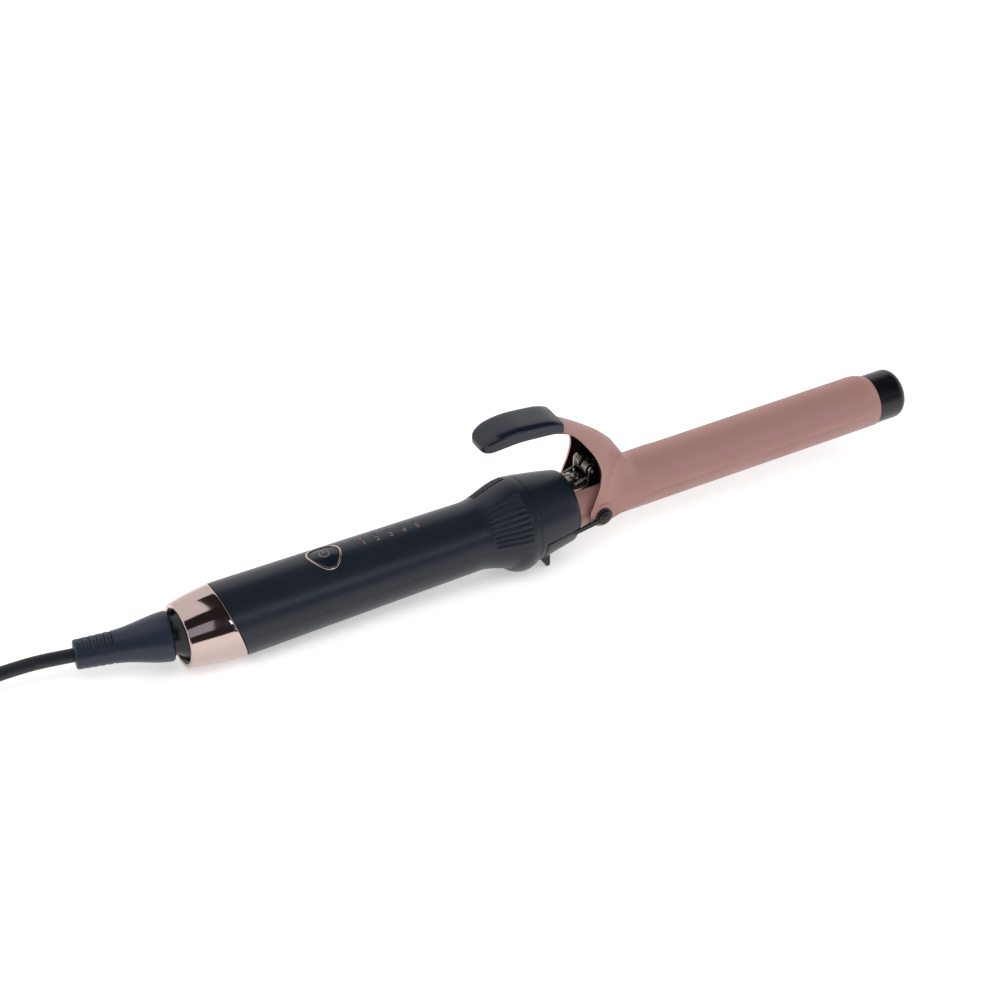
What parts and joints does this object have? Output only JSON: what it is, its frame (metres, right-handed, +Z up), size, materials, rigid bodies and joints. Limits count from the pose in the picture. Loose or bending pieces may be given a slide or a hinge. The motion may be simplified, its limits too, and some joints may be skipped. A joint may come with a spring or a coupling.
{
  "type": "curling iron",
  "caption": "Spring-clamp hair curling iron with a metal barrel, lever clamp, flared ribbed handle, flip-down stand and swivelling mains cord.",
  "frame": {"origin": "on the floor, under the middle of the iron's box measured without the cord, hank and plug", "axes": "+X towards the barrel's tip, +Y away from the shield button's point, +Z up; the iron lies on its foot and rear ring, so the barrel points about 2.6 degrees up"},
  "size_m": [0.6395, 0.0564, 0.0765],
  "materials": {
    "rose_metal": "satin rose-gold anodised metal",
    "black_plastic": "satin",
    "aluminium": "plain extruded",
    "ceramic": "matte ceramic",
    "lead_insulation": "woven sleeve",
    "steel": "bright plated",
    "soft_plastic": "soft-touch charcoal blue",
    "champagne_plating": "polished champagne metallised plastic",
    "clear_plastic": "clear",
    "board": "solder mask",
    "board_parts": "moulded",
    "brass": "spring brass",
    "black_steel": "satin black powder coat",
    "cord_rubber": "matte",
    "tie": "hook-and-loop"
  },
  "bodies": {
    "iron": {"barrel_tube": "rose_metal", "tip_cap": "black_plastic", "heat_spreader_upper": "aluminium", "heat_spreader_lower": "aluminium", "ptc_heater": "ceramic", "thermal_fuse": "ceramic", "insulator_disc": "ceramic", "heater_leads": "lead_insulation", "pivot_bracket": "steel", "pivot_pins": "steel", "spring_bracket": "steel", "bracket_screw": "steel", "spring_pin": "steel", "clamp_spring": "steel", "handle_upper_shell": "soft_plastic", "handle_lower_shell": "soft_plastic", "shell_screws": "steel", "nose_collar": "soft_plastic", "rear_ring": "champagne_plating", "ball_retainer": "black_plastic", "button_bezel": "champagne_plating", "light_guide": "clear_plastic", "control_board": "board", "board_screws": "steel", "power_switch": "black_plastic", "board_components": "board_parts", "light_diodes": "clear_plastic", "swivel_cup": "black_plastic", "slip_contacts": "brass", "supply_leads": "lead_insulation", "power_cord": "cord_rubber", "cord_hank": "cord_rubber", "cord_tie": "tie", "plug_body": "cord_rubber", "plug_pins": "steel"},
    "clamp": {"clamp": "rose_metal", "thumb_grip": "soft_plastic"},
    "stand": {"stand": "black_steel"},
    "button": {"power_button": "black_plastic"},
    "cord_swivel": {"strain_relief": "cord_rubber"}
  },
  "joints": [
    {"name": "clamp_pivot", "type": "hinge", "parent": "iron", "child": "clamp", "pos_m": [0.03503, 0, 0.02363], "axis": [0, -1, 0], "range_deg": [0, 26], "stiffness_Nm_per_rad": 0.6, "springref_deg": -28.65, "deforming": ["clamp_spring"]},
    {"name": "stand_pivot", "type": "hinge", "parent": "iron", "child": "stand", "pos_m": [0.03503, 0, 0.02363], "axis": [0, -1, 0], "range_deg": [0, 90]},
    {"name": "button_press", "type": "slide", "parent": "iron", "child": "button", "axis": [0.0458, 0, -0.999], "range_m": [0, 0.0008], "stiffness_N_per_m": 800, "springref_m": -0.0012},
    {"name": "cord_swivel", "type": "hinge", "parent": "iron", "child": "cord_swivel", "pos_m": [-0.15331, 0, 0.01599], "axis": [-0.9789, 0.1994, -0.0449], "continuous": true}
  ]
}
